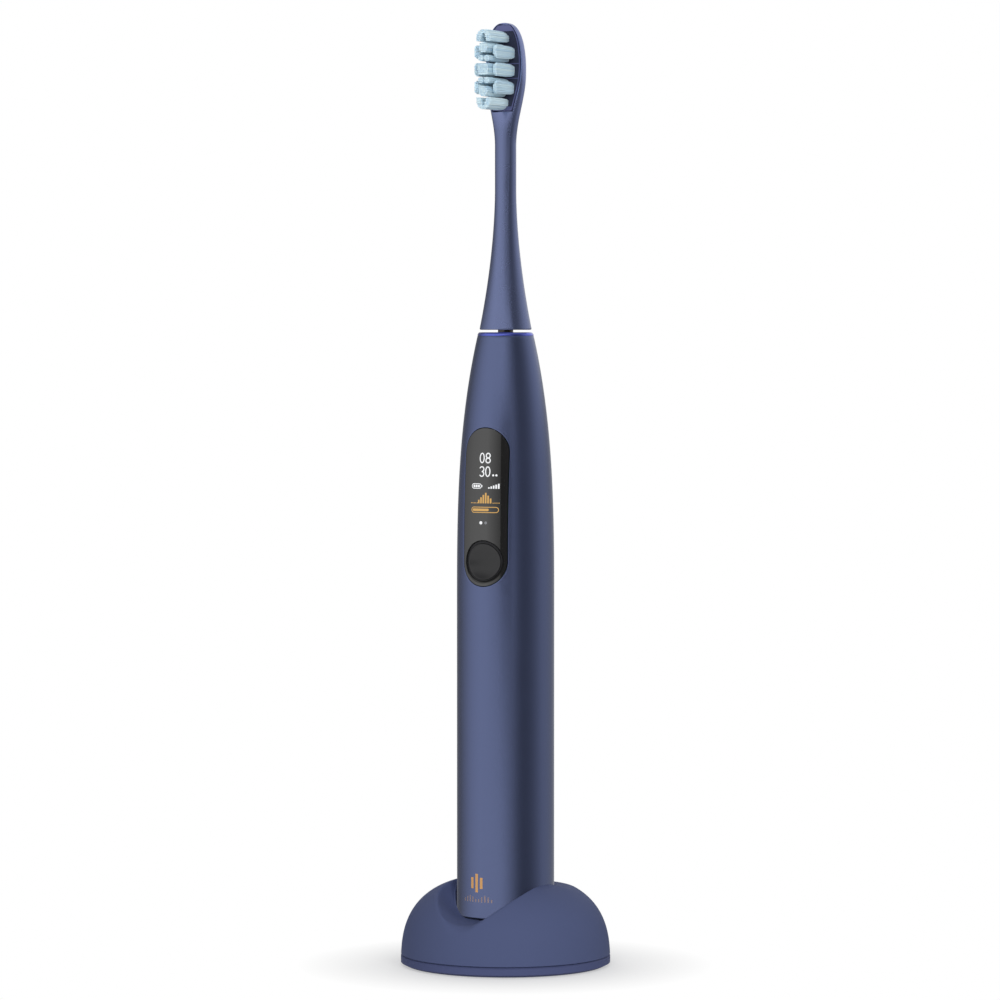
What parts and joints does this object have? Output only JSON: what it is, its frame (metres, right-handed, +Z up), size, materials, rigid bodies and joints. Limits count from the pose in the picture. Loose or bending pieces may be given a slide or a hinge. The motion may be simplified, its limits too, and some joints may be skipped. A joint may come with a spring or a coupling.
{
  "type": "electric toothbrush on charger",
  "caption": "Slim electric toothbrush with display window and round button, standing in the round socket of a domed charging dock.",
  "frame": {"origin": "centre of the dock's underside, on the table", "axes": "+Z up along the handle, front with the window and the bristles towards -Y"},
  "size_m": [0.0604, 0.0604, 0.2708],
  "materials": {
    "cover": "satin moulded dark blue",
    "plate": "satin moulded dark blue",
    "foot": "soft matt rubber",
    "steel": "turned steel",
    "shaft": "polished steel",
    "winding": "enamelled copper wire",
    "ferrite": "sintered ferrite",
    "board": "green solder mask",
    "chips": "black epoxy",
    "grommet": "moulded rubber",
    "shell": "soft-touch dark blue coating",
    "nose": "glossy blue trim",
    "cap": "satin moulded dark blue",
    "seal": "black silicone",
    "frame": "grey moulded plastic",
    "cell": "shrink sleeve",
    "display": "dark panel",
    "window": "glossy dark grey lens",
    "button": "satin dark grey",
    "can": "drawn metal can",
    "bobbin": "natural nylon",
    "bearing": "sintered bronze",
    "magnet": "nickel plated magnet",
    "head": "satin moulded blue",
    "head_face": "satin moulded blue",
    "anchor": "drawn wire",
    "bristle": "pale blue nylon filaments"
  },
  "bodies": {
    "dock": {"dock_cover": "cover", "base_plate": "plate", "foot_pad": "foot", "dock_weight": "steel", "cover_screws": "steel", "charge_coil": "winding", "charge_ferrite": "ferrite", "dock_board": "board", "dock_board_parts": "chips", "cable_grommet": "grommet"},
    "handle": {"handle_shell": "shell", "nose_ring": "nose", "end_cap": "cap", "end_cap_seal": "seal", "receiver_coil": "winding", "receiver_ferrite": "ferrite", "inner_frame": "frame", "frame_screws": "steel", "battery_cell": "cell", "battery_tabs": "steel", "main_board": "board", "main_board_parts": "chips", "button_switch": "chips", "display_module": "display", "display_window": "window", "motor_can": "can", "motor_cap": "can", "stator_bobbin": "bobbin", "stator_winding": "winding", "rear_bearing": "bearing", "front_bearing": "bearing", "motor_mount": "steel", "damper_ring": "seal", "shaft_seal": "seal"},
    "button": {"power_button": "button"},
    "drive": {"drive_shaft": "shaft", "rotor_magnets": "magnet", "retaining_clip": "steel"},
    "brush_head": {"head_shell": "head", "shaft_insert": "bobbin", "grip_ring": "steel", "bristle_plate": "head_face", "tuft_anchors": "anchor", "side_tufts": "bristle", "middle_tufts": "bristle", "end_tufts": "bristle"}
  },
  "joints": [
    {"name": "handle_lift", "type": "slide", "parent": "dock", "child": "handle", "axis": [0, 0, 1], "range_m": [0, 0.03]},
    {"name": "button_press", "type": "slide", "parent": "handle", "child": "button", "axis": [0, 1, 0], "range_m": [0, 0.0004], "stiffness_N_per_m": 600, "springref_m": -0.002},
    {"name": "sonic_swing", "type": "hinge", "parent": "handle", "child": "drive", "pos_m": [0, 0, 0.15], "axis": [0, 0, 1], "range_deg": [-5, 5], "stiffness_Nm_per_rad": 0.02},
    {"name": "head_pull", "type": "slide", "parent": "drive", "child": "brush_head", "axis": [0, 0, 1], "range_m": [0, 0.025]}
  ]
}
